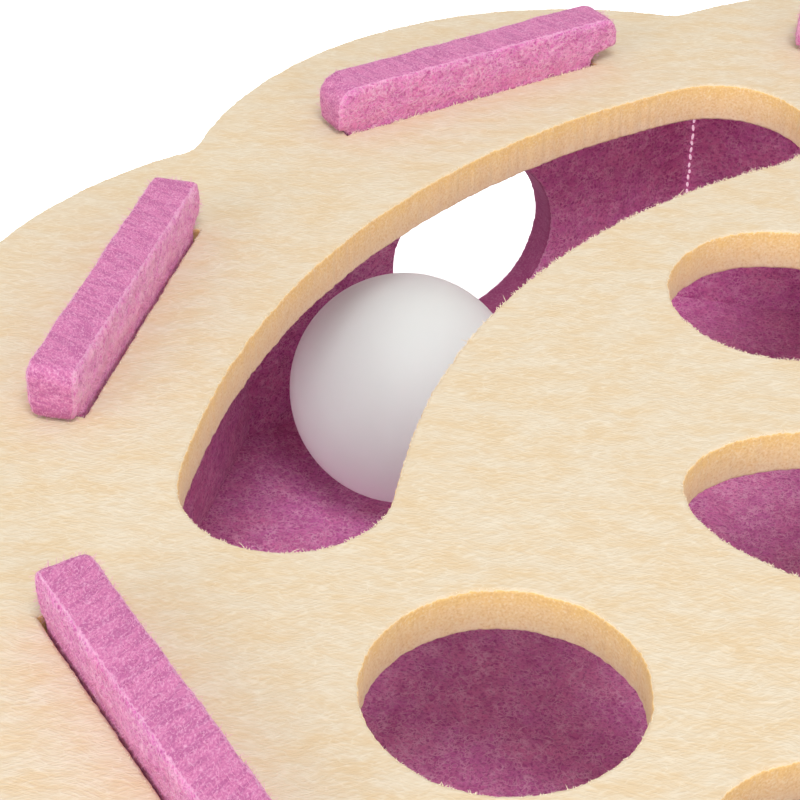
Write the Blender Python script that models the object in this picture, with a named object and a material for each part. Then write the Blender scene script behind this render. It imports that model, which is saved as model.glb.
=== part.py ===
"""Felt cat activity mat: a flower-shaped cream felt top on an eight-sided ring of pink felt walls over
a round pink floor. Tabs on the walls lock through slots in both panels, and a ball rolls between them.

Units are metres, +Z is up, and the origin is on the ground under the flower's centre. The first side has
its outward normal along +X, and the others follow counter-clockwise, 45 degrees apart.
"""

import math

import bmesh
import bpy
from mathutils import Vector

# Ball
BALL_RADIUS = 0.0200
BALL_SEGMENTS = 32
BALL_RINGS = 16
BALL_REST_ANGLE = math.radians(153.1)
BALL_HEADROOM = 0.0097
BALL_WALL_CLEARANCE = 0.0008

# Wall ring
SIDE_COUNT = 8
SIDE_STEP = math.tau / SIDE_COUNT
HALF_STEP = SIDE_STEP / 2
WALL_APOTHEM = 0.1143
WALL_THICKNESS = 0.0064
FIT_GAP = 0.0003
WELD_DISTANCE = 0.000001

# Wall strips: each covers two sides, with a fold between them and a seam at either end
STRIP_FOLDS = tuple(math.radians(angle) for angle in (157.5, 67.5, -22.5, -112.5))
FOLD_INNER_RADIUS = 0.0010
FOLD_STEPS = 4

# Windows in the walls
WINDOW_RADIUS = 0.0172
WINDOW_HEIGHT_SHARE = 0.51

# Panels
PANEL_THICKNESS = 0.0072
PETAL_RADIUS = 0.0690
PETAL_OVERHANG = 0.0245
PETAL_NOTCH_FILLET = 0.0060
FLOOR_OVERHANG = 0.0014

# Tabs, the same above the top panel and below the floor
TAB_RISE = 0.0088
TAB_NECK_LENGTH = 0.0510
TAB_NECK_RISE = 0.0014
TAB_BARB_LENGTH = 0.0022
TAB_BARB_SLOPE = 0.0014
TAB_CORNER_RADIUS = 0.0032
TAB_END_PLAY = 0.0010

# Curved ball slots in the top panel: the left one bulges in this direction, and the right one mirrors it
BALL_SLOT_DIRECTION = math.radians(160.7)
BALL_SLOT_WIDTH = 0.0300
BALL_SLOT_BACK_ANGLE = math.radians(31.0)
BALL_SLOT_FRONT_ANGLE = math.radians(26.6)
BALL_SLOT_ARC_SHARE = 1.1214
BALL_SLOT_REACH_SHARE = 0.6994

# Treat openings in the top panel, their places as shares of the wall ring's apothem
TREAT_HOLE_RADIUS = 0.0180
OUTER_HOLE_SHARES = ((-0.3867, -0.5634), (0.0, -0.7349), (0.3867, -0.5634))
INNER_HOLE_WEB = 0.0050
INNER_HOLE_FORWARD_SHARE = 0.2843
OVAL_CENTRE_SHARE = -0.1575
OVAL_HALF_LENGTH = 0.0288
OVAL_HALF_WIDTH = 0.0176

# Seam stitches
STITCH_PITCH = 0.0015
STITCH_LENGTH = 0.0010
STITCH_DIAMETER = 0.0005
STITCH_PINCH_SHARE = 0.4

# Roundness of curves
CIRCLE_POINTS = 32
FLOOR_POINTS = 96
PETAL_POINTS = 11
FILLET_POINTS = 6
SLOT_SIDE_POINTS = 14
SLOT_END_POINTS = 9
CORNER_POINTS = 4

# Colours as linear red, green and blue
CREAM = (0.85, 0.73, 0.50)
PINK = (0.60, 0.18, 0.40)
THREAD_PINK = (0.80, 0.50, 0.62)
BALL_WHITE = (0.80, 0.79, 0.80)

# What follows from the dimensions above
CLEAR_HEIGHT = FIT_GAP + 2 * BALL_RADIUS + BALL_HEADROOM
FLOOR_UNDERSIDE = TAB_RISE
FLOOR_TOP = FLOOR_UNDERSIDE + PANEL_THICKNESS
PANEL_UNDERSIDE = FLOOR_TOP + CLEAR_HEIGHT
PANEL_TOP = PANEL_UNDERSIDE + PANEL_THICKNESS
WALL_BOTTOM = FLOOR_TOP + FIT_GAP
WALL_TOP = PANEL_UNDERSIDE - FIT_GAP
WALL_OUTER = WALL_APOTHEM + WALL_THICKNESS
WINDOW_CENTRE_HEIGHT = FLOOR_TOP + WINDOW_HEIGHT_SHARE * CLEAR_HEIGHT
BALL_PATH_RADIUS = WALL_APOTHEM - BALL_WALL_CLEARANCE - BALL_RADIUS
PETAL_CENTRE_RADIUS = WALL_OUTER + PETAL_OVERHANG - PETAL_RADIUS
FLOOR_RADIUS = WALL_OUTER / math.cos(HALF_STEP) + FLOOR_OVERHANG


def clear_scene():
    for obj in list(bpy.data.objects):
        bpy.data.objects.remove(obj, do_unlink=True)


def parts_collection(name):
    collection = bpy.data.collections.new(name)
    bpy.context.scene.collection.children.link(collection)
    return collection


def material(name, colour, roughness):
    made = bpy.data.materials.new(name)
    made.use_nodes = True
    shader = made.node_tree.nodes["Principled BSDF"]
    shader.inputs["Base Color"].default_value = (*colour, 1.0)
    shader.inputs["Roughness"].default_value = roughness
    shader.inputs["Metallic"].default_value = 0.0
    made.diffuse_color = (*colour, 1.0)
    return made


def add_object(name, mesh, collection, look):
    obj = bpy.data.objects.new(name, mesh)
    collection.objects.link(obj)
    mesh.materials.clear()
    mesh.materials.append(look)
    return obj


def arc(centre, radius, start, end, count):
    """Points on an arc, both ends included."""
    points = []
    for index in range(count):
        angle = start + (end - start) * index / (count - 1)
        points.append((centre[0] + radius * math.cos(angle), centre[1] + radius * math.sin(angle)))
    return points


def circle(centre, radius, count=CIRCLE_POINTS):
    return arc(centre, radius, 0.0, math.tau * (count - 1) / count, count)


def turned(points, angle):
    cosine = math.cos(angle)
    sine = math.sin(angle)
    return [(cosine * x - sine * y, sine * x + cosine * y) for x, y in points]


def petal_outline():
    """The flower: eight round petals, with a fillet in each notch between them."""
    across = PETAL_CENTRE_RADIUS * math.sin(HALF_STEP)
    along = PETAL_CENTRE_RADIUS * math.cos(HALF_STEP)
    reach = PETAL_RADIUS + PETAL_NOTCH_FILLET
    fillet_distance = along + math.sqrt(reach**2 - across**2)
    fillet_centre = Vector((fillet_distance, 0.0))
    petal_centre = Vector((along, across))
    to_fillet = fillet_centre - petal_centre
    meeting = math.atan2(to_fillet.y, to_fillet.x)
    half_fillet = -meeting
    petal_half_angle = HALF_STEP - meeting
    petal = arc((PETAL_CENTRE_RADIUS, 0.0), PETAL_RADIUS, -petal_half_angle, petal_half_angle, PETAL_POINTS)
    fillet_start = math.pi + half_fillet
    fillet_end = math.pi - half_fillet
    notch = arc(fillet_centre, PETAL_NOTCH_FILLET, fillet_start, fillet_end, FILLET_POINTS)[1:-1]
    points = []
    for index in range(SIDE_COUNT):
        points += turned(petal, index * SIDE_STEP)
        points += turned(notch, index * SIDE_STEP + HALF_STEP)
    return points


def ball_slot():
    """The left ball slot: curved, with round ends, drawn about its own arc centre and then placed."""
    half_width = BALL_SLOT_WIDTH / 2
    back = -BALL_SLOT_BACK_ANGLE
    front = BALL_SLOT_FRONT_ANGLE
    arc_radius = BALL_SLOT_ARC_SHARE * WALL_APOTHEM
    outer = arc((0.0, 0.0), arc_radius + half_width, back, front, SLOT_SIDE_POINTS)
    inner = arc((0.0, 0.0), arc_radius - half_width, front, back, SLOT_SIDE_POINTS)
    front_end = (arc_radius * math.cos(front), arc_radius * math.sin(front))
    back_end = (arc_radius * math.cos(back), arc_radius * math.sin(back))
    outline = outer + arc(front_end, half_width, front, front + math.pi, SLOT_END_POINTS)[1:-1]
    outline += inner + arc(back_end, half_width, back - math.pi, back, SLOT_END_POINTS)[1:-1]
    shift = BALL_SLOT_REACH_SHARE * WALL_APOTHEM - arc_radius
    return turned([(x + shift, y) for x, y in outline], BALL_SLOT_DIRECTION)


def tab_slot(side_angle):
    inner = WALL_APOTHEM - FIT_GAP
    outer = WALL_OUTER + FIT_GAP
    half = TAB_NECK_LENGTH / 2 + TAB_END_PLAY
    return turned([(inner, -half), (outer, -half), (outer, half), (inner, half)], side_angle)


def treat_openings():
    """Three round holes near the front edge, a pair behind the middle, and an oval between them."""
    inner_x = TREAT_HOLE_RADIUS + INNER_HOLE_WEB / 2
    inner_y = INNER_HOLE_FORWARD_SHARE * WALL_APOTHEM
    centres = [(x * WALL_APOTHEM, y * WALL_APOTHEM) for x, y in OUTER_HOLE_SHARES]
    centres += [(-inner_x, inner_y), (inner_x, inner_y)]
    oval_y = OVAL_CENTRE_SHARE * WALL_APOTHEM
    oval = [(OVAL_HALF_LENGTH * x, oval_y + OVAL_HALF_WIDTH * y) for x, y in circle((0.0, 0.0), 1.0)]
    return [circle(centre, TREAT_HOLE_RADIUS) for centre in centres] + [oval]


def sheet_mesh(name, outlines, thickness):
    """A flat sheet from a filled 2D curve: the first outline is its edge and the others are holes."""
    curve = bpy.data.curves.new(name + "_outline", "CURVE")
    curve.dimensions = "2D"
    curve.fill_mode = "BOTH"
    curve.extrude = thickness / 2
    for outline in outlines:
        spline = curve.splines.new("POLY")
        spline.points.add(len(outline) - 1)
        for point, (x, y) in zip(spline.points, outline):
            point.co = (x, y, 0.0, 1.0)
        spline.use_cyclic_u = True
    drawn = bpy.data.objects.new(name + "_outline", curve)
    bpy.context.scene.collection.objects.link(drawn)
    bpy.context.view_layer.update()
    graph = bpy.context.evaluated_depsgraph_get()
    mesh = bpy.data.meshes.new_from_object(drawn.evaluated_get(graph))
    mesh.name = name
    bpy.data.objects.remove(drawn, do_unlink=True)
    bpy.data.curves.remove(curve)
    shape = bmesh.new()
    shape.from_mesh(mesh)
    bmesh.ops.remove_doubles(shape, verts=shape.verts, dist=WELD_DISTANCE)
    bmesh.ops.recalc_face_normals(shape, faces=shape.faces)
    shape.to_mesh(mesh)
    shape.free()
    return mesh


def make_panel(name, outlines, height, collection, look):
    mesh = sheet_mesh(name, outlines, PANEL_THICKNESS)
    panel = add_object(name, mesh, collection, look)
    panel.location.z = height + PANEL_THICKNESS / 2
    return panel


def tab_outline(centre):
    """A tab on one edge of a strip, from left root to right root, as (along the strip, above the panel)."""
    half_neck = TAB_NECK_LENGTH / 2
    half_head = half_neck + TAB_BARB_LENGTH
    barb_rise = TAB_NECK_RISE + TAB_BARB_SLOPE
    corner_centre = (half_head - TAB_CORNER_RADIUS, TAB_RISE - TAB_CORNER_RADIUS)
    right = arc(corner_centre, TAB_CORNER_RADIUS, math.pi / 2, 0.0, CORNER_POINTS)
    right += [(half_head, barb_rise), (half_neck, TAB_NECK_RISE)]
    left = [(-x, rise) for x, rise in reversed(right)]
    return [(centre + x, rise) for x, rise in left + right]


def strip_edge(centres, end, root, panel_face, side):
    """One long edge of the flat strip, left to right, with its tabs; side is 1 for up, -1 for down."""
    half_neck = TAB_NECK_LENGTH / 2
    edge = [(-end, root)]
    for centre in centres:
        edge.append((centre - half_neck, root))
        edge += [(x, panel_face + side * rise) for x, rise in tab_outline(centre)]
        edge.append((centre + half_neck, root))
    edge.append((end, root))
    return edge


def strip_outlines(end, centres):
    """A wall strip cut flat, as (distance from the fold, height), and its two windows."""
    lower = strip_edge(centres, end, WALL_BOTTOM, FLOOR_UNDERSIDE, -1)
    upper = strip_edge(centres, end, WALL_TOP, PANEL_TOP, 1)
    windows = [circle((centre, WINDOW_CENTRE_HEIGHT), WINDOW_RADIUS) for centre in centres]
    return [lower + upper[::-1]] + windows


def folded(along, out, bend_half):
    """Plan position of a point of the strip after folding about the +X direction."""
    centre = (WALL_APOTHEM - FOLD_INNER_RADIUS) / math.cos(HALF_STEP)
    straight = max(abs(along) - bend_half, 0.0)
    turn = HALF_STEP * max(-1.0, min(1.0, along / bend_half))
    side = 1.0 if along >= 0 else -1.0
    normal = Vector((math.cos(turn), math.sin(turn)))
    tangent = Vector((-normal.y, normal.x)) * side
    return Vector((centre, 0.0)) + normal * (FOLD_INNER_RADIUS + out) + tangent * straight


def make_wall_strip(name, fold_angle, collection, look):
    side_length = 2 * WALL_APOTHEM * math.tan(HALF_STEP)
    bend_half = FOLD_INNER_RADIUS * HALF_STEP
    fold_loss = FOLD_INNER_RADIUS * math.tan(HALF_STEP) - bend_half
    middle = side_length / 2 - fold_loss
    end = side_length - fold_loss - FIT_GAP / 2
    mesh = sheet_mesh(name, strip_outlines(end, (-middle, middle)), WALL_THICKNESS)
    shape = bmesh.new()
    shape.from_mesh(mesh)
    for step in range(FOLD_STEPS + 1):
        place = bend_half * (2 * step / FOLD_STEPS - 1)
        whole = shape.verts[:] + shape.edges[:] + shape.faces[:]
        cut = {"plane_co": (place, 0, 0), "plane_no": (1, 0, 0)}
        bmesh.ops.bisect_plane(shape, geom=whole, dist=WELD_DISTANCE, **cut)
    for vertex in shape.verts:
        along, height, depth = vertex.co
        out = depth + WALL_THICKNESS / 2
        if abs(abs(along) - end) < WELD_DISTANCE:
            along += math.copysign(out * math.tan(HALF_STEP), along)
        plan = folded(along, out, bend_half)
        vertex.co = (plan.x, plan.y, height)
    shape.to_mesh(mesh)
    shape.free()
    strip = add_object(name, mesh, collection, look)
    strip.rotation_euler.z = fold_angle
    return strip


def make_seam(name, seam_angle, collection, look):
    """One thread down the inner corner between two strips, pinched between its stitches."""
    curve = bpy.data.curves.new(name, "CURVE")
    curve.dimensions = "3D"
    curve.bevel_depth = STITCH_DIAMETER / 2
    curve.bevel_resolution = 1
    curve.use_fill_caps = True
    count = int((WALL_TOP - WALL_BOTTOM) / STITCH_PITCH)
    first = (WALL_TOP + WALL_BOTTOM - (count - 1) * STITCH_PITCH) / 2
    places = []
    for index in range(count):
        middle = first + index * STITCH_PITCH
        places += [(middle - STITCH_LENGTH / 2, 1.0), (middle + STITCH_LENGTH / 2, 1.0)]
        places.append((middle + STITCH_PITCH / 2, STITCH_PINCH_SHARE))
    spline = curve.splines.new("POLY")
    spline.points.add(len(places) - 2)
    reach = (WALL_APOTHEM - STITCH_DIAMETER / 2 - FIT_GAP) / math.cos(HALF_STEP)
    for point, (height, share) in zip(spline.points, places[:-1]):
        point.co = (reach, 0.0, height, 1.0)
        point.radius = share
    curve.materials.append(look)
    seam = bpy.data.objects.new(name, curve)
    collection.objects.link(seam)
    seam.rotation_euler.z = seam_angle
    return seam


def make_ball(collection, look):
    """The ball hangs from an empty on the mat's vertical axis, about which it rolls round the walls."""
    shape = bmesh.new()
    bmesh.ops.create_uvsphere(shape, u_segments=BALL_SEGMENTS, v_segments=BALL_RINGS, radius=BALL_RADIUS)
    mesh = bpy.data.meshes.new("ball")
    shape.to_mesh(mesh)
    shape.free()
    mesh.shade_smooth()
    ball = add_object("ball", mesh, collection, look)
    pivot = bpy.data.objects.new("ball_path_centre", None)
    pivot.empty_display_size = BALL_RADIUS
    pivot.rotation_euler.z = BALL_REST_ANGLE
    collection.objects.link(pivot)
    ball.parent = pivot
    ball.location = (BALL_PATH_RADIUS, 0.0, FLOOR_TOP + FIT_GAP + BALL_RADIUS)
    return ball


def build_mat():
    clear_scene()
    parts = parts_collection("cat_activity_mat")
    cream_felt = material("cream_felt", CREAM, 0.95)
    pink_felt = material("pink_felt", PINK, 0.95)
    thread = material("pink_thread", THREAD_PINK, 0.6)
    ball_plastic = material("ball_plastic", BALL_WHITE, 0.45)

    tab_slots = [tab_slot(index * SIDE_STEP) for index in range(SIDE_COUNT)]
    left_slot = ball_slot()
    right_slot = [(-x, y) for x, y in reversed(left_slot)]
    top_outlines = [petal_outline()] + tab_slots + [left_slot, right_slot] + treat_openings()
    make_panel("top_panel", top_outlines, PANEL_UNDERSIDE, parts, cream_felt)

    floor_edge = circle((0.0, 0.0), FLOOR_RADIUS, FLOOR_POINTS)
    make_panel("floor_panel", [floor_edge] + tab_slots, FLOOR_UNDERSIDE, parts, pink_felt)

    for number, fold_angle in enumerate(STRIP_FOLDS, start=1):
        make_wall_strip(f"wall_strip_{number}", fold_angle, parts, pink_felt)
        make_seam(f"seam_thread_{number}", fold_angle - SIDE_STEP, parts, thread)
    make_ball(parts, ball_plastic)


build_mat()
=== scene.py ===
import math
import random

import bmesh
import bpy
from mathutils import Matrix, Vector, noise


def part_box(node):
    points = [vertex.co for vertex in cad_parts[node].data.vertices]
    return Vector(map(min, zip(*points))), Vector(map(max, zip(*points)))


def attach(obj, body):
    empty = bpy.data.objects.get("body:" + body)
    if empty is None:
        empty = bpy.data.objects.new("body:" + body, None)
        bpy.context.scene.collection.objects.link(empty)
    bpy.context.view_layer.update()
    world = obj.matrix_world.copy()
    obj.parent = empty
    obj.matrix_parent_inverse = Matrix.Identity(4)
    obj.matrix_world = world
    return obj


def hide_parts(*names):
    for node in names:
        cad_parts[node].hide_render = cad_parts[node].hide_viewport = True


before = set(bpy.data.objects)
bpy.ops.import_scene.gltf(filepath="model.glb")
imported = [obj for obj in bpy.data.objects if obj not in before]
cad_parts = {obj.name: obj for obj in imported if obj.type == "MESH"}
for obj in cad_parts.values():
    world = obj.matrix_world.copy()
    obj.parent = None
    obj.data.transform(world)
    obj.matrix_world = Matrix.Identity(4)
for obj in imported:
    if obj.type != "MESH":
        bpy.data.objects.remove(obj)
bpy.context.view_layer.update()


# Lengths are in metres, and MM turns millimetres into them
MM = 0.001

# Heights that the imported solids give
PANEL_LOW, PANEL_HIGH = (corner.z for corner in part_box("top_panel"))
FLOOR_LOW, FLOOR_HIGH = (corner.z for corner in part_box("floor_panel"))
PANEL_THICKNESS = PANEL_HIGH - PANEL_LOW
TAB_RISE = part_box("wall_strip_1")[1].z - PANEL_HIGH

# The ring of walls: four strips of two sides each, folded in the middle towards these directions
SIDES = 8
SIDE_STEP = math.tau / SIDES
HALF_STEP = SIDE_STEP / 2
WALL_APOTHEM = 114.3 * MM
WALL_THICKNESS = 6.4 * MM
WALL_OUTER = WALL_APOTHEM + WALL_THICKNESS
STRIP_FOLDS = tuple(math.radians(angle) for angle in (157.5, 67.5, -22.5, -112.5))

# The fold: an arc at the inner face, which takes a little less felt than a sharp corner would
FOLD_INNER_RADIUS = 1.0 * MM
BEND_HALF = FOLD_INNER_RADIUS * HALF_STEP
FOLD_LOSS = FOLD_INNER_RADIUS * math.tan(HALF_STEP) - BEND_HALF
SIDE_LENGTH = 2 * WALL_APOTHEM * math.tan(HALF_STEP)
SIDE_MIDDLES = (FOLD_LOSS - SIDE_LENGTH / 2, SIDE_LENGTH / 2 - FOLD_LOSS)
STRIP_END = SIDE_LENGTH - FOLD_LOSS

# How the strips sit: sunk into the panels, lapped at the seams, and turned a little against their tabs
WALL_SINK = 1.2 * MM
SEAM_LAP = 1.6 * MM
SEAM_MITRE = 6.0 * MM
WALL_TWIST = math.radians(0.6)
TWIST_FADE = 6.0 * MM
WINDOW_RADIUS = 17.2 * MM
WINDOW_HEIGHT = 41.5 * MM

# The flower and the floor disc
PETAL_RADIUS = 69.0 * MM
PETAL_OVERHANG = 24.5 * MM
PETAL_NOTCH_FILLET = 6.0 * MM
PETAL_CENTRE_RADIUS = WALL_OUTER + PETAL_OVERHANG - PETAL_RADIUS
FLOOR_OVERHANG = 1.4 * MM
FLOOR_RADIUS = WALL_OUTER / math.cos(HALF_STEP) + FLOOR_OVERHANG

# The tabs and their slots
TAB_NECK_LENGTH = 51.0 * MM
HALF_NECK = TAB_NECK_LENGTH / 2
TAB_END_PLAY = 1.0 * MM
# Each tab end's corner radius, barb length and height of the barb's root, by strip, tab and end, as the
# hand-cut felt varies
USUAL_TAB_END = (3.2 * MM, 2.2 * MM, 0.5 * MM)
TAB_ENDS = {
    (1, 0, "clockwise"): (3.4 * MM, 5.0 * MM, 1.5 * MM),
    (1, 0, "other"): (3.6 * MM, 2.2 * MM, 0.3 * MM),
    (1, 1, "clockwise"): (1.6 * MM, 2.2 * MM, 1.2 * MM),
    (1, 1, "other"): (2.4 * MM, 2.6 * MM, 0.2 * MM),
    (4, 0, "clockwise"): (1.6 * MM, 0.3 * MM, 0.3 * MM),
}
# Gaps inside and outside a tab where it leans against one side of its slot, by the wall's number
USUAL_TAB_GAPS = (0.1 * MM, 0.1 * MM)
TAB_GAPS = {3: (0.0, 0.2 * MM), 4: (0.5 * MM, 0.1 * MM), 5: (0.1 * MM, 0.45 * MM)}
# Past its slot the felt of a tab swells again: where that starts, the height it takes, and how much
TAB_SWELL_START = 0.5 * MM
TAB_SWELL_RISE = 3.0 * MM
TAB_SWELL = 0.65 * MM
# The feet of the mat stay just clear of the ground
TAB_FOOT = 0.02 * MM

# The openings in the flower
BALL_SLOT_DIRECTION = math.radians(160.7)
BALL_SLOT_WIDTH = 30.0 * MM
BALL_SLOT_BACK_ANGLE = math.radians(31.0)
BALL_SLOT_FRONT_ANGLE = math.radians(26.6)
BALL_SLOT_ARC_RADIUS = 128.2 * MM
BALL_SLOT_REACH = 79.9 * MM
TREAT_HOLE_RADIUS = 18.0 * MM
TREAT_HOLES = ((-44.2, -64.4), (0.0, -84.0), (44.2, -64.4), (-20.5, 32.5), (20.5, 32.5))
FRONT_HOLE_COUNT = 3
OVAL_FORWARD = -18.0 * MM
OVAL_HALVES = (28.8 * MM, 17.6 * MM)

# How finely the outlines and nets are drawn, and how soft the felt's rims are
OUTLINE_STEP = 0.45 * MM
PANEL_ROUNDING = 0.6 * MM
WALL_ROUNDING = 0.5 * MM
ROUNDING_STEPS = 2
MERGE_DISTANCE = 0.002 * MM
WALL_NET = 0.7 * MM
WALL_SMOOTHING = 0.4
# A point of the net this near to a window's circle belongs on it
RIM_REACH = 0.3 * MM
# The part of a normal that lies along the sheet's depth: where the cut edge starts, where a point is
# wholly on it, and from where a face counts as flat
CUT_NONE = 0.8421
CUT_FULL = 0.3158
FLAT_FACE = 0.999

# Waves in the felt, each as (height, size): the wander of its cut edges and the lumps of the walls. Each
# outline and strip takes them from another place. Fewer lumps are left inside the slots
CUT_WANDER = ((0.18 * MM, 4.0 * MM), (0.20 * MM, 0.9 * MM))
OUTLINE_APART = 10 * MM
WALL_LUMPS = ((0.20 * MM, 4.0 * MM), (0.12 * MM, 1.6 * MM))
STRIP_APART = 50 * MM
HIDDEN_LUMPS = 0.3

# The floor is cut a metre away from the walls in the roll of felt, so its pattern isn't theirs
FLOOR_ALONG_ROLL = -1.0

# Every loose fibre is thinner at its tip, by this share. Wool is about 0.03 mm thick, which is too thin
# to show, so each drawn fibre stands for a wisp of several. Fibre lengths are in millimetres
FIBRE_TAPER = 0.6

# The fringe on the top panel's cut rims: the way it was brushed, and its tufts as (fullness, size)
BRUSHED_WAY = Vector((-0.35, 0.94, 0.0))
FRINGE_THICKNESS = 0.13 * MM
BRUSHED_BACK = 0.15
FRINGE_USUAL = 0.9
FRINGE_TUFTS = ((1.6, 0.8 * MM), (0.96, 2.4 * MM))
FRINGE_LIMITS = (0.3, 1.6)
# Where its fibres start and head, with a lean along the rim that neighbours share
FRINGE_SINK = 0.08 * MM
FRINGE_DEPTH = 0.35 * MM
FRINGE_LEAN = ((2.0, 0.6 * MM),)
FRINGE_LEAN_SHIFT = Vector((0.0, 0.0, 4.2 * MM))
FRINGE_SCATTER = 1.3
FRINGE_RISE = (-0.3, 0.3)
# Their length, the part of it that a full tuft adds, and how much they curl
FRINGE_LENGTH = (0.25, 0.4)
FRINGE_TUFT_LENGTH = 0.38
FRINGE_CURL = 2.6
FRINGE_STEPS = 3
# The fringe is rubbed shorter towards the mat's front
FRONT_REACH = 0.65
FRONT_AT = -60 * MM
FULL_REACH_AT = 20 * MM
# Now and then a fibre is pulled out whole, where the fringe was brushed out over the rim
LOOSE_SHARE = 0.008
LOOSE_WHERE_BRUSHED = 0.6
LOOSE_LENGTH = (1.2, 2.4)
LOOSE_CURL = 4.5
LOOSE_STEPS = 7

# The fuzz on the tabs
FUZZ_THICKNESS = 0.065 * MM
FUZZ_PER_STRIP = 8500
FUZZ_ABOVE_PANEL = 0.3 * MM
FUZZ_ROOT = 0.15 * MM
FUZZ_UPRIGHT = 0.8
FUZZ_SIDEWAYS = (0.2, 1.2)
FUZZ_LENGTH = (0.45, 1.3)
FUZZ_CURL = 2.4
FUZZ_STEPS = 2

# The seams' stitches, of thread about half a millimetre thick. Their lengths are in millimetres
SEAM_OFFSET = math.radians(0.5)
SEAM_SINK = 0.45 * MM
SEAM_MARGIN = 1.5 * MM
STITCH_RADIUS = 0.27 * MM
STITCH_LENGTH = (0.8, 1.5)
STITCH_GAP = (0.25, 0.6)
STITCH_TILT = 0.12
STITCH_WANDER = 0.05


def share(value, none, full):
    """How far the value has come from none to full, from 0 to 1."""
    return min(max((value - none) / (full - none), 0.0), 1.0)


def waves_at(place, waves):
    """The height of the waves at the place, each given as (height, size)."""
    return sum(height * noise.noise(place / size) for height, size in waves)


# Outlines

def arc(centre, radius, start, end):
    """Points on an arc about a step apart, both ends included."""
    count = max(3, round(abs(end - start) * radius / OUTLINE_STEP) + 1)
    turns = [start + (end - start) * index / (count - 1) for index in range(count)]
    return [(centre[0] + radius * math.cos(turn), centre[1] + radius * math.sin(turn)) for turn in turns]


def circle(centre, radius):
    return arc(centre, radius, 0.0, math.tau)[:-1]


def turned(points, angle):
    cosine = math.cos(angle)
    sine = math.sin(angle)
    return [(cosine * x - sine * y, sine * x + cosine * y) for x, y in points]


def along_lines(corners):
    """Points about a step apart on the straight lines between the corners, round to the first again."""
    points = []
    for start, end in zip(corners, corners[1:] + corners[:1]):
        start = Vector(start)
        end = Vector(end)
        count = max(1, round((end - start).length / OUTLINE_STEP))
        points += [tuple(start.lerp(end, index / count)) for index in range(count)]
    return points


def flower_outline():
    """Eight round petals with a fillet in each notch between them."""
    across = PETAL_CENTRE_RADIUS * math.sin(HALF_STEP)
    along = PETAL_CENTRE_RADIUS * math.cos(HALF_STEP)
    reach = PETAL_RADIUS + PETAL_NOTCH_FILLET
    fillet_centre = Vector((along + math.sqrt(reach**2 - across**2), 0.0))
    to_fillet = fillet_centre - Vector((along, across))
    meeting = math.atan2(to_fillet.y, to_fillet.x)
    petal_half = HALF_STEP - meeting
    petal = arc((PETAL_CENTRE_RADIUS, 0.0), PETAL_RADIUS, -petal_half, petal_half)
    notch = arc(fillet_centre, PETAL_NOTCH_FILLET, math.pi - meeting, math.pi + meeting)[1:-1]
    points = []
    for index in range(SIDES):
        points += turned(petal, index * SIDE_STEP)
        points += turned(notch, index * SIDE_STEP + HALF_STEP)
    return points


def ball_slot():
    """The left ball slot, drawn about its own arc centre and then placed."""
    half = BALL_SLOT_WIDTH / 2
    radius = BALL_SLOT_ARC_RADIUS
    back = -BALL_SLOT_BACK_ANGLE
    front = BALL_SLOT_FRONT_ANGLE
    front_end = (radius * math.cos(front), radius * math.sin(front))
    back_end = (radius * math.cos(back), radius * math.sin(back))
    outline = arc((0.0, 0.0), radius + half, back, front)
    outline += arc(front_end, half, front, front + math.pi)[1:-1]
    outline += arc((0.0, 0.0), radius - half, front, back)
    outline += arc(back_end, half, back - math.pi, back)[1:-1]
    shift = BALL_SLOT_REACH - radius
    return turned([(x + shift, y) for x, y in outline], BALL_SLOT_DIRECTION)


def tab_slots():
    """Slots that the felt of the tabs nearly fills, with a little play at one end of each."""
    made = []
    for index in range(SIDES):
        inside, outside = TAB_GAPS.get(index, USUAL_TAB_GAPS)
        inner = WALL_APOTHEM - inside
        outer = WALL_OUTER + outside
        left = HALF_NECK + outside
        right = -HALF_NECK - TAB_END_PLAY
        slot = along_lines([(inner, right), (outer, right), (outer, left), (inner, left)])
        made.append(turned(slot, index * SIDE_STEP))
    return made


def treat_openings():
    """The round holes, from left to right in the front and then in the back, and the oval in the middle."""
    holes = [circle((x * MM, y * MM), TREAT_HOLE_RADIUS) for x, y in TREAT_HOLES]
    half_length, half_width = OVAL_HALVES
    squash = half_width / half_length
    oval = [(x, OVAL_FORWARD + squash * y) for x, y in circle((0.0, 0.0), half_length)]
    return holes + [oval]


def signed_area(points):
    following = points[1:] + points[:1]
    return sum(x * v - u * y for (x, y), (u, v) in zip(points, following)) / 2


def wound(points, anticlockwise):
    return points if (signed_area(points) > 0) == anticlockwise else points[::-1]


def unevenly_cut(points, seed):
    """The outline with the slight wander of a cut edge in felt."""
    count = len(points)
    moved = []
    for index, (x, y) in enumerate(points):
        before = Vector(points[index - 1])
        after = Vector(points[(index + 1) % count])
        along = (after - before).normalized()
        wander = waves_at(Vector((x, y, seed * OUTLINE_APART)), CUT_WANDER)
        moved.append((x + along.y * wander, y - along.x * wander))
    return moved


# Making and finishing pieces

def in_scene(obj):
    """The object, now in the scene."""
    bpy.context.scene.collection.objects.link(obj)
    return obj


def made_mesh(name, data, net=None):
    """The mesh that a curve gives, or a mesh as an even net of small faces of that size."""
    drawn = in_scene(bpy.data.objects.new(name + "_drawn", data))
    if net:
        modifier = drawn.modifiers.new("net", "REMESH")
        modifier.mode = "VOXEL"
        modifier.voxel_size = net
    bpy.context.view_layer.update()
    graph = bpy.context.evaluated_depsgraph_get()
    mesh = bpy.data.meshes.new_from_object(drawn.evaluated_get(graph))
    bpy.data.objects.remove(drawn, do_unlink=True)
    kept_with = bpy.data.meshes if net else bpy.data.curves
    kept_with.remove(data)
    mesh.name = name
    return mesh


def opened(mesh):
    """The mesh as a bmesh that can be worked on."""
    shape = bmesh.new()
    shape.from_mesh(mesh)
    return shape


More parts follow.
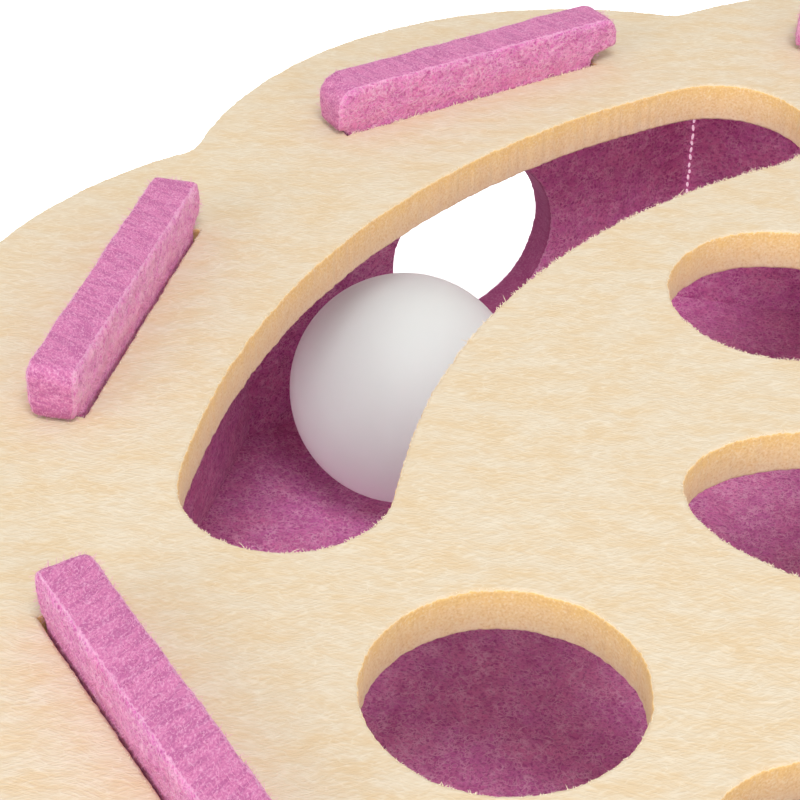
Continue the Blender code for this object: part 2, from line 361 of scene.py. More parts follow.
def closed(shape, mesh):
    """Puts the worked shape back into its mesh."""
    shape.to_mesh(mesh)
    shape.free()
    return mesh


def smoothly_closed(shape, mesh):
    for face in shape.faces:
        face.smooth = True
    return closed(shape, mesh)


def piece(name, mesh, body, look, slot, *nodes):
    """The finished piece in the scene, riding on its body in place of its CAD nodes."""
    obj = in_scene(bpy.data.objects.new(name, mesh))
    mesh.materials.clear()
    mesh.materials.append(look)
    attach(obj, body)
    if nodes:
        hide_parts(*nodes)
    return obj


# Felt sheets

def sheet_from(name, outlines, thickness, rounding):
    """A felt sheet about z = 0, cut to the outlines, with softly rounded rims."""
    curve = bpy.data.curves.new(name + "_outline", "CURVE")
    curve.dimensions = "2D"
    curve.fill_mode = "BOTH"
    curve.extrude = thickness / 2 - rounding
    curve.bevel_depth = rounding
    curve.bevel_resolution = ROUNDING_STEPS
    curve.offset = -rounding
    for index, outline in enumerate(outlines):
        outline = wound(outline, index == 0)
        spline = curve.splines.new("POLY")
        spline.points.add(len(outline) - 1)
        for point, (x, y) in zip(spline.points, outline):
            point.co = (x, y, 0.0, 1.0)
        spline.use_cyclic_u = True
    mesh = made_mesh(name, curve)
    shape = opened(mesh)
    bmesh.ops.remove_doubles(shape, verts=shape.verts, dist=MERGE_DISTANCE)
    bmesh.ops.recalc_face_normals(shape, faces=shape.faces)
    return closed(shape, mesh)


def remember_sheet(shape, along_roll=0.0):
    """Keeps each point's place in the roll of felt, for the pattern, and how far it lies on a cut edge."""
    flat_layer = shape.verts.layers.float_vector.new("flat_place")
    cut_layer = shape.verts.layers.float.new("cut_edge")
    shape.normal_update()
    for vertex in shape.verts:
        vertex[flat_layer] = vertex.co + Vector((0.0, along_roll, 0.0))
        vertex[cut_layer] = share(abs(vertex.normal.z), CUT_NONE, CUT_FULL)
    return flat_layer, cut_layer


def make_panel(name, node, outlines, look, slot, along_roll=0.0):
    """A flat panel of felt between its CAD node's two heights, with slightly uneven cut edges."""
    low, high = (corner.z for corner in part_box(node))
    thickness = high - low
    ragged = [unevenly_cut(points, index) for index, points in enumerate(outlines)]
    mesh = sheet_from(name, ragged, thickness, PANEL_ROUNDING)
    shape = opened(mesh)
    remember_sheet(shape, along_roll)
    for face in shape.faces:
        face.smooth = abs(face.normal.z) < FLAT_FACE
    bmesh.ops.translate(shape, verts=shape.verts, vec=(0, 0, low + thickness / 2))
    return piece(name, closed(shape, mesh), "mat", look, slot, node)


# Wall strips

def tab_end(corner_radius, barb_length, barb_root):
    """Half a tab's outline from its top to its root, as (from the tab's middle, above the panel)."""
    half_head = HALF_NECK + barb_length
    corner = (half_head - corner_radius, TAB_RISE - corner_radius)
    rounded = arc(corner, corner_radius, math.pi / 2, 0.0)
    return rounded + [(half_head, 2 * barb_root), (HALF_NECK, barb_root)]


def tab_outline(centre, ends):
    """From left root to right root, as (along the strip, above the panel)."""
    left = [(-x, rise) for x, rise in reversed(tab_end(*ends[0]))]
    return [(centre + x, rise) for x, rise in left + tab_end(*ends[1])]


def strip_edge(root, panel_face, side, strip=None):
    """A strip's lower (side -1) or upper (side 1) edge with its tabs, as (along the strip, height)."""
    edge = [(-STRIP_END, root)]
    for number, centre in enumerate(SIDE_MIDDLES):
        ends = [TAB_ENDS.get((strip, number, which), USUAL_TAB_END) for which in ("clockwise", "other")]
        edge.append((centre - HALF_NECK, root))
        edge += [(x, panel_face + side * rise) for x, rise in tab_outline(centre, ends)]
        edge.append((centre + HALF_NECK, root))
    edge.append((STRIP_END, root))
    return edge


def fold_turn(along):
    """The turn about the fold at that place along the strip."""
    return HALF_STEP * max(-1.0, min(1.0, along / BEND_HALF))


def folded(along, out):
    """Plan position of a point of the strip after folding about the +X direction."""
    centre = (WALL_APOTHEM - FOLD_INNER_RADIUS) / math.cos(HALF_STEP)
    straight = max(abs(along) - BEND_HALF, 0.0)
    turn = fold_turn(along)
    normal = Vector((math.cos(turn), math.sin(turn)))
    tangent = Vector((-normal.y, normal.x)) * (1.0 if along >= 0 else -1.0)
    return Vector((centre, 0.0)) + normal * (FOLD_INNER_RADIUS + out) + tangent * straight


def wall_twist(height):
    """The walls sit a little clockwise of their tabs, as felt strips pushed into slots do."""
    above_floor = share(height, FLOOR_HIGH, FLOOR_HIGH + TWIST_FADE)
    below_panel = share(height, PANEL_LOW, PANEL_LOW - TWIST_FADE)
    return -WALL_TWIST * min(above_floor, below_panel)


def on_window_rim(place):
    """The place, moved on to a window's true circle where the net of faces runs beside it."""
    along, height, depth = place
    centre = min(SIDE_MIDDLES, key=lambda middle: abs(middle - along))
    spoke = Vector((along - centre, height - WINDOW_HEIGHT))
    beside = abs(spoke.length - WINDOW_RADIUS) <= RIM_REACH
    if not beside or abs(depth) > WALL_THICKNESS / 2 - WALL_ROUNDING:
        return place
    spoke = spoke.normalized() * WINDOW_RADIUS
    return Vector((centre + spoke.x, WINDOW_HEIGHT + spoke.y, depth))


def swell_at(height):
    """How much of its swelling a tab has at that height, from 0 at the panel's face to 1."""
    clear_of_panel = max(height - PANEL_HIGH, FLOOR_LOW - height)
    return share(clear_of_panel, TAB_SWELL_START, TAB_SWELL_START + TAB_SWELL_RISE)


def room_for_lumps(height, on_cut):
    """The share of the lumps that shows: all on the tabs and inside the ring, little in the slots."""
    if FLOOR_HIGH < height < PANEL_LOW:
        return 1.0 - on_cut
    return 1.0 if height > PANEL_HIGH else HIDDEN_LUMPS


def make_wall(name, node, fold_angle, number, look):
    """A strip of two sides, cut flat with its tabs and windows, softened, and folded into its place."""
    lower = strip_edge(FLOOR_HIGH - WALL_SINK, FLOOR_LOW, -1)
    upper = strip_edge(PANEL_LOW + WALL_SINK, PANEL_HIGH, 1, number)
    windows = [circle((centre, WINDOW_HEIGHT), WINDOW_RADIUS) for centre in SIDE_MIDDLES]
    mesh = sheet_from(name, [lower + upper[::-1]] + windows, WALL_THICKNESS, WALL_ROUNDING)
    mesh = made_mesh(name, mesh, WALL_NET)
    shape = opened(mesh)
    every_way = {"use_axis_x": True, "use_axis_y": True, "use_axis_z": True}
    bmesh.ops.smooth_vert(shape, verts=shape.verts, factor=WALL_SMOOTHING, **every_way)
    flat_layer, cut_layer = remember_sheet(shape)
    for vertex in shape.verts:
        vertex.co = on_window_rim(vertex.co)
        along, height, depth = vertex.co
        lump = waves_at(Vector((along, height, depth + number * STRIP_APART)), WALL_LUMPS)
        lump *= room_for_lumps(height, vertex[cut_layer])
        swell = TAB_SWELL * swell_at(height)
        along, height, depth = vertex.co + vertex.normal * lump
        depth += swell * depth / (WALL_THICKNESS / 2)
        out = depth + WALL_THICKNESS / 2
        vertex[flat_layer] = (along + out * fold_turn(along), height, depth)
        near_end = share(abs(along), STRIP_END - SEAM_MITRE, STRIP_END)
        lap = SEAM_LAP * (1.0 - out / WALL_THICKNESS)
        along += math.copysign((out * math.tan(HALF_STEP) + lap) * near_end, along)
        plan = folded(along, out)
        plan.rotate(Matrix.Rotation(fold_angle + wall_twist(height), 2))
        vertex.co = (plan.x, plan.y, max(height, TAB_FOOT))
    return piece(name, smoothly_closed(shape, mesh), "mat", look, "pink_felt", node)


# Loose fibres, drawn as many short splines that become thin tubes

def fibres(name, strands, thickness, look, slot):
    """Thin tapered tubes along the strands, each a list of points."""
    curve = bpy.data.curves.new(name + "_strands", "CURVE")
    curve.dimensions = "3D"
    curve.bevel_depth = thickness / 2
    curve.bevel_resolution = 0
    curve.use_fill_caps = True
    for strand in strands:
        spline = curve.splines.new("POLY")
        spline.points.add(len(strand) - 1)
        for index, (point, place) in enumerate(zip(spline.points, strand)):
            point.co = (*place, 1.0)
            point.radius = 1.0 - FIBRE_TAPER * index / (len(strand) - 1)
    return piece(name, made_mesh(name, curve), "mat", look, slot)


def any_way(chance):
    """A vector in any direction, of no fixed length."""
    return Vector((chance.gauss(0, 1), chance.gauss(0, 1), chance.gauss(0, 1)))


def strand_from(root, heading, length, curl, chance, steps):
    """A short fibre that starts in the felt and bends as it leaves it."""
    points = [Vector(root)]
    heading = heading.normalized()
    bend = any_way(chance) * curl
    for _ in range(steps):
        heading = (heading + bend / steps).normalized()
        points.append(points[-1] + heading * length / steps)
    return points


def rim_fringe(outlines, seed, per_mm, setback, lift):
    """Ragged tufts along the top panel's rims, fullest where they were brushed out over the edge."""
    chance = random.Random(seed)
    least, most = FRINGE_LIMITS
    shortest, longest = FRINGE_LENGTH
    edges = [ends for outline in outlines for ends in zip(outline, outline[1:] + outline[:1])]
    strands = []
    for (x, y), (u, v) in edges:
        start = Vector((x, y, 0.0))
        edge = Vector((u - x, v - y, 0.0))
        middle = start + edge / 2
        outwards = Vector((edge.y, -edge.x, 0.0)).normalized()
        brushed_out = BRUSHED_BACK + (1.0 - BRUSHED_BACK) * max(outwards.dot(BRUSHED_WAY), 0.0)
        fullness = min(max(FRINGE_USUAL + waves_at(middle, FRINGE_TUFTS), least), most) * brushed_out
        reach = (FRONT_REACH + (1.0 - FRONT_REACH) * share(y, FRONT_AT, FULL_REACH_AT)) * MM
        lean = waves_at(middle + FRINGE_LEAN_SHIFT, FRINGE_LEAN)
        count = edge.length / MM * per_mm * fullness
        for _ in range(int(count) + (chance.random() < count % 1)):
            root = start + edge * chance.random() - outwards * setback
            root.z = PANEL_HIGH - FRINGE_SINK - abs(chance.gauss(0, FRINGE_DEPTH)) / (1.0 + lift)
            along = edge.normalized() * (lean + chance.gauss(0, FRINGE_SCATTER))
            heading = outwards + along + Vector((0, 0, lift + chance.uniform(*FRINGE_RISE)))
            length = chance.uniform(shortest, longest + FRINGE_TUFT_LENGTH * fullness) * reach
            curl, steps = FRINGE_CURL, FRINGE_STEPS
            if brushed_out > LOOSE_WHERE_BRUSHED and chance.random() < LOOSE_SHARE:
                length = chance.uniform(*LOOSE_LENGTH) * reach
                curl, steps = LOOSE_CURL, LOOSE_STEPS
            strands.append(strand_from(root, heading, length, curl, chance, steps))
    return strands


def tab_fuzz(wall, seed):
    """Short fibres that stand off the tabs above the panel."""
    chance = random.Random(seed)
    faces = [face for face in wall.data.polygons if face.center.z > PANEL_HIGH + FUZZ_ABOVE_PANEL]
    strands = []
    for face in chance.choices(faces, weights=[face.area for face in faces], k=FUZZ_PER_STRIP):
        sideways = any_way(chance).cross(face.normal).normalized()
        heading = face.normal * FUZZ_UPRIGHT + sideways * chance.uniform(*FUZZ_SIDEWAYS)
        root = face.center - face.normal * FUZZ_ROOT
        length = chance.uniform(*FUZZ_LENGTH) * MM
        strands.append(strand_from(root, heading, length, FUZZ_CURL, chance, FUZZ_STEPS))
    return strands


# Materials

# The direction of the combed nap in the flat sheet
NAP = math.radians(14)


def linear(hex_colour):
    """An sRGB hex colour as the linear colour that a shader takes."""
    channels = [int(hex_colour[start:start + 2], 16) / 255 for start in (1, 3, 5)]
    return (*(c / 12.92 if c <= 0.04045 else ((c + 0.055) / 1.055) ** 2.4 for c in channels), 1.0)


# The kinds of node by plain name: Blender's type and settings, the inputs in order, and the output
NOISE_INPUTS = ("Vector", "Scale", "Detail")
KINDS = {
    "flat place": ("ShaderNodeAttribute", {"attribute_name": "flat_place"}, (), "Vector"),
    "cut edge": ("ShaderNodeAttribute", {"attribute_name": "cut_edge"}, (), "Fac"),
    "x of": ("ShaderNodeSeparateXYZ", {}, (0,), 0),
    "y of": ("ShaderNodeSeparateXYZ", {}, (0,), 1),
    "z of": ("ShaderNodeSeparateXYZ", {}, (0,), 2),
    "colour mix": ("ShaderNodeMix", {"data_type": "RGBA"}, (0, 6, 7), 2),
    "number mix": ("ShaderNodeMix", {"data_type": "FLOAT"}, (0, 2, 3), 0),
    "range": ("ShaderNodeMapRange", {}, ("Value", "From Min", "From Max", "To Min", "To Max"), 0),
    "plus": ("ShaderNodeMath", {"operation": "ADD"}, (0, 1), 0),
    "minus": ("ShaderNodeMath", {"operation": "SUBTRACT"}, (0, 1), 0),
    "times": ("ShaderNodeMath", {"operation": "MULTIPLY"}, (0, 1), 0),
    "larger": ("ShaderNodeMath", {"operation": "MAXIMUM"}, (0, 1), 0),
    "unsigned": ("ShaderNodeMath", {"operation": "ABSOLUTE"}, (0,), 0),
    "noise": ("ShaderNodeTexNoise", {}, NOISE_INPUTS, 0),
    "noise vector": ("ShaderNodeTexNoise", {}, NOISE_INPUTS, 1),
    "vector minus": ("ShaderNodeVectorMath", {"operation": "SUBTRACT"}, (0, 1), 0),
    "vector times": ("ShaderNodeVectorMath", {"operation": "SCALE"}, (0, "Scale"), 0),
    "vector plus": ("ShaderNodeVectorMath", {"operation": "ADD"}, (0, 1), 0),
    "stretched": ("ShaderNodeMapping", {"vector_type": "TEXTURE"}, ("Vector", "Rotation", "Scale"), 0),
    "bump": ("ShaderNodeBump", {}, ("Height", "Strength", "Distance"), 0),
    "seen by camera": ("ShaderNodeLightPath", {}, (), "Is Camera Ray"),
    "seen in gloss": ("ShaderNodeLightPath", {}, (), "Is Glossy Ray"),
    "seen through": ("ShaderNodeLightPath", {}, (), "Is Transmission Ray"),
    "sky direction": ("ShaderNodeTexCoord", {}, (), "Generated"),
}


def add(tree, kind, *sources):
    """Adds a node with its settings, sets or links its inputs in order, and gives its output."""
    blender_type, settings, inputs, output = KINDS[kind]
    made = tree.nodes.new(blender_type)
    for name, value in settings.items():
        setattr(made, name, value)
    for socket, source in zip(inputs, sources):
        if isinstance(source, bpy.types.NodeSocket):
            tree.links.new(source, made.inputs[socket])
        else:
            made.inputs[socket].default_value = linear(source) if isinstance(source, str) else source
    return made.outputs[output]


def layered(tree, colour, *layers):
    """The colour with each layer over it in turn, as (how much of it shows, its colour)."""
    for amount, over in layers:
        colour = add(tree, "colour mix", amount, colour, over)
    return colour


def patches(tree, place, size, none, full, most=1.0, least=0.0, detail=2.0):
    """Soft patches of about that size: least where the noise is at none, and most where it is at full."""
    # Noise lies around 0.5, nearly all of it between 0.3 and 0.7, here and in the ranges below
    return add(tree, "range", add(tree, "noise", place, 1 / size, detail), none, full, least, most)


def streaks(tree, place, angle, length, width):
    """Fibres lying side by side along one direction of the flat sheet."""
    laid = add(tree, "stretched", place, (0, 0, angle), (length, width, width))
    return add(tree, "noise", laid, 1.0, 2.0)


def wavy(tree, place, size, amount):
    """The place pushed about a little, so that what lies straight there bends."""
    push = add(tree, "vector minus", add(tree, "noise vector", place, 1 / size, 0.0), (0.5, 0.5, 0.5))
    return add(tree, "vector plus", place, add(tree, "vector times", push, amount))


def curls(tree, place, size, fineness):
    """Single fibres that wander over the felt: the thin lines where a noise crosses its middle value."""
    wave = add(tree, "noise", place, 1 / size, 1.0)
    from_middle = add(tree, "unsigned", add(tree, "minus", wave, 0.5))
    return add(tree, "range", from_middle, fineness, 0.0, 0.0, 1.0)


def combed(tree, place, angle):
    """Short fibres lying about one way, from -0.5 to 0.5 about zero."""
    # Bundles of fibres are a third of a millimetre wide. One fibre of 0.03 mm is too fine to show
    lie = streaks(tree, place, angle, 2.2 * MM, 0.36 * MM)
    return add(tree, "range", lie, 0.32, 0.68, -0.5, 0.5)


def rise_over_panel(tree, place):
    """How far the felt stands clear above the top panel, from 0 at its face to 1 at 3 mm up: the tabs,
    where the felt grows fuzzy and takes pale spots of wear and painted highlight, and below which its cut
    edges take painted shade.
    """
    return add(tree, "range", add(tree, "y of", place), PANEL_HIGH, PANEL_HIGH + 3.0 * MM, 0.0, 1.0)


def cream_face(tree, place):
    """Cream nap, combed roughly one way, with faint peach patches."""
    # The bundles of fibres bend by up to about a millimetre every 5 mm
    bent = wavy(tree, place, 5.0 * MM, 1.6 * MM)
    # Patches of 8 by 3 mm, where the wool was laid down unevenly
    peach = add(tree, "range", streaks(tree, bent, NAP, 8.0 * MM, 3.0 * MM), 0.38, 0.66, 0.0, 1.0)
    # Two layers of fibres that cross at a narrow angle
    nap = add(tree, "plus", combed(tree, bent, NAP - 0.3), combed(tree, bent, NAP + 0.35))
    # Single fibres that lie loose on top, curled about every 1.5 mm and drawn coarser than they are
    single = curls(tree, add(tree, "stretched", place, (0, 0, NAP), (2.6, 1.0, 1.0)), 1.5 * MM, 0.03)
    colour = layered(
        tree, "#DBCBB1",
        (peach, "#DAC3A0"),
        (add(tree, "range", nap, 0.0, -0.7, 0.0, 0.30), "#D2B68D"),
        (add(tree, "range", nap, 0.0, 0.7, 0.0, 0.35), "#E9DFCB"),
        (add(tree, "times", single, 0.22), "#EFE6D4"),
    )
    relief = add(tree, "plus", nap, add(tree, "times", single, 0.4))
    return colour, add(tree, "times", relief, 0.4)


def cream_edge(tree, place):
    """Where the cream felt is cut: golden at the upper rim, paler peach below, finely speckled. The golden
    upper band is painted light, for light from the lit top face that shines through the felt.
    """
    low = -PANEL_THICKNESS / 2
    # The golden rim, painted light, is about 2 mm deep, and its lower border wanders over patches of 2.2 mm
    uneven = add(tree, "minus", add(tree, "noise", place, 1 / (2.2 * MM), 2.0), 0.5)
    level = add(tree, "plus", add(tree, "z of", place), add(tree, "times", uneven, 4.0 * MM))
    # Cut fibre ends show as specks. They are drawn 0.36 mm wide, because ends of 0.03 mm don't show.
    # Clumps of them, 1.3 mm wide, are a little darker
    specks = add(tree, "noise", place, 1 / (0.36 * MM), 2.0)
    colour = layered(
        tree, "#F3DAB6",
        (add(tree, "range", level, low, low * 0.2, 0.0, 1.0), "#F0D09E"),
        (add(tree, "range", level, 0.3 * MM, 2.8 * MM, 0.0, 1.0), "#EEC783"),
        (patches(tree, place, 1.3 * MM, 0.50, 0.34, 0.25, detail=1.0), "#E8BD84"),
        (add(tree, "range", specks, 0.47, 0.30, 0.0, 0.5), "#D8AC74"),
        (add(tree, "range", specks, 0.53, 0.70, 0.0, 0.45), "#FBEBCB"),
    )
    return colour, add(tree, "times", specks, 0.6)


def pink_face(tree, place):
    """Dyed felt's flat faces: uneven dye and dark pits under a fine tangle of curled paler fibres."""
    # The dye took unevenly, in patches of 7 and 3 mm. Pits between the bundles are about 0.6 mm across
    deep = patches(tree, place, 0.6 * MM, 0.53, 0.33, 0.78, detail=3.0)
    # Curled fibres loop about every millimetre, more of them in clumps of 2.2 mm, and a few longer ones
    # every 2.6 mm. They are drawn about 0.1 mm thick, so that they show
    tangle = add(tree, "larger", curls(tree, place, 1.3 * MM, 0.05), curls(tree, place, 0.8 * MM, 0.06))
    clumps = patches(tree, place, 2.2 * MM, 0.35, 0.62, 0.85, least=0.15)
    long_curls = curls(tree, wavy(tree, place, 2.0 * MM, 1.2 * MM), 2.6 * MM, 0.016)
    # The tabs have pale spots of 1.6 mm, partly rubbed wear and partly painted highlight, the one at a
    # strip's positive end more than the other, and single hairs stand out on both
    on_tab = rise_over_panel(tree, place)
    more_at_end = add(tree, "range", add(tree, "x of", place), 40 * MM, -40 * MM, 0.65, 0.05)
    pale = patches(tree, place, 1.6 * MM, 0.40, 0.70, detail=4.0)
    wear_and_highlight = add(tree, "times", pale, add(tree, "times", on_tab, more_at_end))
    hairs = add(tree, "larger", curls(tree, place, 0.9 * MM, 0.035), curls(tree, place, 1.7 * MM, 0.02))
    colour = layered(
        tree, "#DA77BA",
        (patches(tree, place, 7.0 * MM, 0.40, 0.62), "#E07FB6"),
        (patches(tree, place, 3.0 * MM, 0.55, 0.35, 0.5), "#BE5598"),
        (deep, "#AA4285"),
        (add(tree, "times", tangle, clumps), "#F2B8D8"),
        (add(tree, "times", long_curls, 0.5), "#F4C2DE"),
        (wear_and_highlight, "#EBB2C8"),
        (add(tree, "times", hairs, add(tree, "times", on_tab, 0.4)), "#F7D2E2"),
    )
    return colour, add(tree, "minus", tangle, deep)


def pink_edge(tree, place):
    """Where the pink felt is cut: needled ribs across its thickness, with painted shade on every cut edge
    below the top panel, the windows' rims among them.
    """
    # The barbed needles leave ribs about 0.8 mm apart
    across = add(tree, "stretched", wavy(tree, place, 2.0 * MM, 0.5 * MM), (0, 0, 0), (1.0, 1.0, 5.0))
    ribs = add(tree, "noise", across, 1 / (0.8 * MM), 1.0)
    # Cut fibre ends, drawn 0.34 mm wide so that they show
    specks = add(tree, "noise", place, 1 / (0.34 * MM), 2.0)
    colour = layered(
        tree, "#CA76A3",
        (add(tree, "range", ribs, 0.54, 0.40, 0.0, 0.65), "#AE5B8D"),
        (add(tree, "range", specks, 0.47, 0.30, 0.0, 0.6), "#A05184"),
        (add(tree, "range", specks, 0.54, 0.70, 0.0, 0.7), "#E2A5C6"),
        (add(tree, "times", curls(tree, place, 1.1 * MM, 0.035), 0.25), "#F0BFDA"),
        # Painted shade: the cut edges below the top panel, in the windows and inside the ring, are darker
        # than the tabs' lit tops
        (add(tree, "range", rise_over_panel(tree, place), 1.0, 0.0, 0.0, 0.65), "#8A2C63"),
    )
    return colour, add(tree, "plus", ribs, add(tree, "times", specks, 0.5))


def new_look(name, values):
    """A material with those values on its shader's own sockets."""
    look = bpy.data.materials.new(name)
    look.use_nodes = True
    sockets = look.node_tree.nodes["Principled BSDF"].inputs
    for socket, value in values.items():
        sockets[socket].default_value = linear(value) if isinstance(value, str) else value
    return look


def felt(name, face, edge, fluff_and_highlight, sheen_tint):
    """Needled felt with fibres lying in its faces, their cut ends on its edges, and a pale line between,
    partly fluff and partly painted highlight on the rounded rim.
    """
    look = new_look(name, {
        "Roughness": 0.95, "Specular IOR Level": 0.15,
        "Sheen Weight": 0.25, "Sheen Roughness": 0.5, "Sheen Tint": sheen_tint,
    })
    tree = look.node_tree
    shader = tree.nodes["Principled BSDF"]
    place = add(tree, "flat place")
    face_colour, face_height = face(tree, place)
    edge_colour, edge_height = edge(tree, place)
    # The border between face and cut edge frays over patches of 0.7 mm
    ragged = add(tree, "minus", add(tree, "noise", place, 1 / (0.7 * MM), 2.0), 0.5)
    border = add(tree, "range", add(tree, "plus", add(tree, "cut edge"), ragged), 0.25, 0.65, 0.0, 1.0)
    # The pale line along the rounded rim is partly fluff and partly painted highlight
    from_crease = add(tree, "unsigned", add(tree, "minus", border, 0.5))
    crease = add(tree, "range", from_crease, 0.5, 0.1, 0.0, 0.5)
    colour = layered(tree, face_colour, (border, edge_colour), (crease, fluff_and_highlight))
    tree.links.new(colour, shader.inputs["Base Color"])
    relief = add(tree, "number mix", border, face_height, edge_height)
    tree.links.new(add(tree, "bump", relief, 0.45, 0.22 * MM), shader.inputs["Normal"])
    return look


# Wool felt, carded and then needled into a thick mat. It has no gloss at all: the eye sees a soft nap,
# paler where fibres stand into the light, and a faint rim of light where they stand off the surface
cream_felt = felt("cream_needled_wool_felt", cream_face, cream_edge, "#F0DFC0", "#FFF6E2")
pink_felt = felt("pink_needled_wool_felt", pink_face, pink_edge, "#EBB3D2", "#FFD9EE")

# The same wool where single fibres have worked loose: a little paler, because light passes through them
cream_fibre = new_look("cream_loose_wool_fibre", {"Base Color": "#F4E6CB", "Roughness": 0.8})
pink_fibre = new_look("pink_loose_wool_fibre", {"Base Color": "#E9A4CA", "Roughness": 0.8})

# Spun polyester sewing thread. It is smooth and shines a little, so that it stands out in the dark
# corner. Its own glow stands for the light that its bright filaments pick up there
sewing_thread = new_look("pale_pink_polyester_thread", {
    "Base Color": "#FFE0F0", "Roughness": 0.3, "Emission Color": "#FFD8EC", "Emission Strength": 0.5,
})

# A thin, matt, hollow shell of moulded plastic. Light passes through it and fills it, so that its shades
# are soft and even its dark side glows. The solid stands for that with light that spreads 25 mm under
# the surface and a faint glow, and the fine grain of the mould shows as a pale sheen at its rims
ball_plastic = new_look("matt_white_moulded_plastic", {
    "Base Color": "#CBD3D3", "Roughness": 0.55, "Specular IOR Level": 0.3,
    "Emission Color": "#FFF6F2", "Emission Strength": 0.17,
    "Sheen Weight": 0.8, "Sheen Roughness": 0.3,
    "Subsurface Weight": 1.0, "Subsurface Radius": (1.0, 1.0, 1.0), "Subsurface Scale": 25.0 * MM,
})


# The mat

slots = tab_slots()
left_slot = ball_slot()
right_slot = [(-x, y) for x, y in left_slot]
treats = treat_openings()
flower = [flower_outline()] + slots + [left_slot, right_slot] + treats
make_panel("felt_top", "top_panel", flower, cream_felt, "cream_felt")
disc = [circle((0.0, 0.0), FLOOR_RADIUS)]
make_panel("felt_floor", "floor_panel", disc, pink_felt, "pink_felt", FLOOR_ALONG_ROLL)

walls = {
    number: make_wall(f"felt_wall_{number}", f"wall_strip_{number}", fold_angle, number, pink_felt)
    for number, fold_angle in enumerate(STRIP_FOLDS, start=1)
}

# Each rim's fibres per millimetre, how far behind the rim they start, and how steeply they rise
rims = (
    ("flower", flower[:1], 4.0, 0.3 * MM, 0.0),
    ("left_slot", [left_slot], 26.0, 0.3 * MM, 0.0),
    ("right_slot", [right_slot], 26.0, 0.3 * MM, 0.0),
    ("front_holes", treats[:FRONT_HOLE_COUNT], 18.0, 0.3 * MM, 0.0),
    ("back_holes", treats[FRONT_HOLE_COUNT:], 26.0, 0.3 * MM, 0.0),
    ("tab_slots", slots, 16.0, 0.5 * MM, 1.4),
)
for seed, (rim, outlines, per_mm, setback, lift) in enumerate(rims, start=1):
    outlines = [wound(outline, rim == "flower") for outline in outlines]
    tufts = rim_fringe(outlines, seed, per_mm, setback, lift)
    fibres(f"felt_fringe_{rim}", tufts, FRINGE_THICKNESS, cream_fibre, "cream_felt")

for number, wall in walls.items():
    fibres(f"tab_fuzz_{number}", tab_fuzz(wall, number), FUZZ_THICKNESS, pink_fibre, "pink_felt")


def make_seam(name, node, seam_angle, seed):
    """A row of short upright stitches in the corner between two strips."""
    chance = random.Random(seed)
    shape = bmesh.new()
    height = FLOOR_HIGH + SEAM_MARGIN
    reach = (WALL_APOTHEM - SEAM_SINK) / math.cos(HALF_STEP - SEAM_OFFSET)
    while height < PANEL_LOW - SEAM_MARGIN:
        length = chance.uniform(*STITCH_LENGTH) * MM
        stitch = bmesh.ops.create_uvsphere(shape, u_segments=8, v_segments=6, radius=1.0)["verts"]
        bmesh.ops.scale(shape, verts=stitch, vec=(STITCH_RADIUS, STITCH_RADIUS, length / 2))
        tilt = Matrix.Rotation(chance.gauss(0, STITCH_TILT), 3, "X")
        bmesh.ops.rotate(shape, verts=stitch, cent=(0, 0, 0), matrix=tilt)
        aside = chance.gauss(0, STITCH_WANDER) * MM
        bmesh.ops.translate(shape, verts=stitch, vec=(reach, aside, height + length / 2))
        height += length + chance.uniform(*STITCH_GAP) * MM
    to_seam = Matrix.Rotation(seam_angle - WALL_TWIST - SEAM_OFFSET, 3, "Z")
    bmesh.ops.rotate(shape, verts=shape.verts, cent=(0, 0, 0), matrix=to_seam)
    mesh = smoothly_closed(shape, bpy.data.meshes.new(name))
    return piece(name, mesh, "mat", sewing_thread, "pink_thread", node)


for number, fold_angle in enumerate(STRIP_FOLDS, start=1):
    make_seam(f"seam_stitches_{number}", f"seam_thread_{number}", fold_angle - SIDE_STEP, number)

ball_low, ball_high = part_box("ball")
shape = bmesh.new()
bmesh.ops.create_uvsphere(shape, u_segments=96, v_segments=48, radius=(ball_high.z - ball_low.z) / 2)
bmesh.ops.translate(shape, verts=shape.verts, vec=(ball_low + ball_high) / 2)
ball_mesh = smoothly_closed(shape, bpy.data.meshes.new("rolling_ball"))
piece("rolling_ball", ball_mesh, "rolling_ball", ball_plastic, "ball_plastic", "ball")


# Stage, light and camera

STAGE_SIZE = 6.0
PAPER_GLOW = 0.75
SKY_AT_HORIZON = 0.90
SKY_OVERHEAD = 0.54
LIGHTS_AIM = Vector((0, 0, 0.05))
# Each softbox's place, its width and its power in watts
SOFTBOXES = {
    "key_softbox": ((0.18, -0.50, 1.18), 0.5, 7.9),
    "right_fill_softbox": ((0.83, -0.99, 0.57), 0.8, 2.2),
    "left_fill_softbox": ((-0.74, -1.06, 0.57), 0.8, 4.2),
}
# The photograph's camera: its place over the front left of the mat, its direction, level, slight tilt
# and lens
CAMERA_PLACE = (-10.35 * MM, -257.5 * MM, 259.9 * MM)
CAMERA_HEADING = math.radians(103.84)
CAMERA_PITCH = math.radians(36.245)
CAMERA_ROLL = math.radians(-0.623)
CAMERA_SENSOR = 36.0
CAMERA_LENS = 98.65


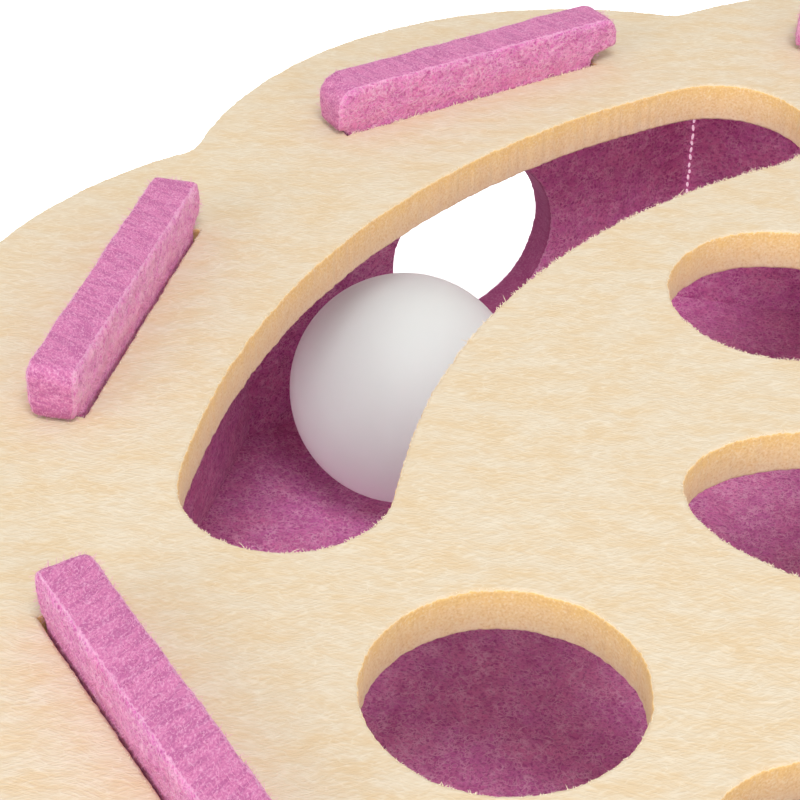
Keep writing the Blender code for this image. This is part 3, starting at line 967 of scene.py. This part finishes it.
def white_stage():
    """A floor of white paper that the camera sees as pure white, apart from the mat's shadow."""
    values = {"Base Color": "#F2F2F2", "Roughness": 0.9, "Emission Color": "#FFFFFF"}
    look = new_look("white_paper_sweep", values)
    tree = look.node_tree
    shader = tree.nodes["Principled BSDF"]
    seen = add(tree, "larger", add(tree, "seen by camera"), add(tree, "seen in gloss"))
    seen = add(tree, "larger", seen, add(tree, "seen through"))
    tree.links.new(add(tree, "times", seen, PAPER_GLOW), shader.inputs["Emission Strength"])
    shape = bmesh.new()
    bmesh.ops.create_grid(shape, x_segments=1, y_segments=1, size=STAGE_SIZE)
    mesh = closed(shape, bpy.data.meshes.new("white_floor"))
    mesh.materials.append(look)
    in_scene(bpy.data.objects.new("white_floor", mesh))


def light_the_room():
    """A soft white room, brightest at the horizon, and three softboxes in front of the mat."""
    world = bpy.data.worlds.new("studio")
    bpy.context.scene.world = world
    world.use_nodes = True
    tree = world.node_tree
    background = tree.nodes["Background"]
    background.inputs["Color"].default_value = (1, 1, 1, 1)
    seen = add(tree, "larger", add(tree, "seen by camera"), add(tree, "seen through"))
    height = add(tree, "z of", add(tree, "sky direction"))
    glow = add(tree, "range", height, 0.0, 1.0, SKY_AT_HORIZON, SKY_OVERHEAD)
    tree.links.new(add(tree, "number mix", seen, glow, 1.0), background.inputs["Strength"])
    for name, (place, width, power) in SOFTBOXES.items():
        data = bpy.data.lights.new(name, "AREA")
        data.shape = "DISK"
        data.size = width
        data.energy = power
        lamp = in_scene(bpy.data.objects.new(name, data))
        lamp.location = place
        lamp.rotation_mode = "QUATERNION"
        lamp.rotation_quaternion = (LIGHTS_AIM - Vector(place)).to_track_quat("-Z", "Y")


def set_camera():
    """The camera, turned about its own axes from its direction, pitch and roll."""
    ahead = Vector((math.cos(CAMERA_HEADING), math.sin(CAMERA_HEADING), 0.0))
    forward = ahead * math.cos(CAMERA_PITCH) - Vector((0, 0, math.sin(CAMERA_PITCH)))
    level = Vector((ahead.y, -ahead.x, 0.0))
    down = forward.cross(level)
    right = level * math.cos(CAMERA_ROLL) + down * math.sin(CAMERA_ROLL)
    up = level * math.sin(CAMERA_ROLL) - down * math.cos(CAMERA_ROLL)
    data = bpy.data.cameras.new("photo_camera")
    data.sensor_width = CAMERA_SENSOR
    data.lens = CAMERA_LENS
    data.clip_start = 10 * MM
    camera = in_scene(bpy.data.objects.new("photo_camera", data))
    axes = Matrix((right, up, -forward)).transposed().to_4x4()
    camera.matrix_world = Matrix.Translation(CAMERA_PLACE) @ axes
    bpy.context.scene.camera = camera


white_stage()
light_the_room()
set_camera()
bpy.context.scene.view_settings.view_transform = "Standard"
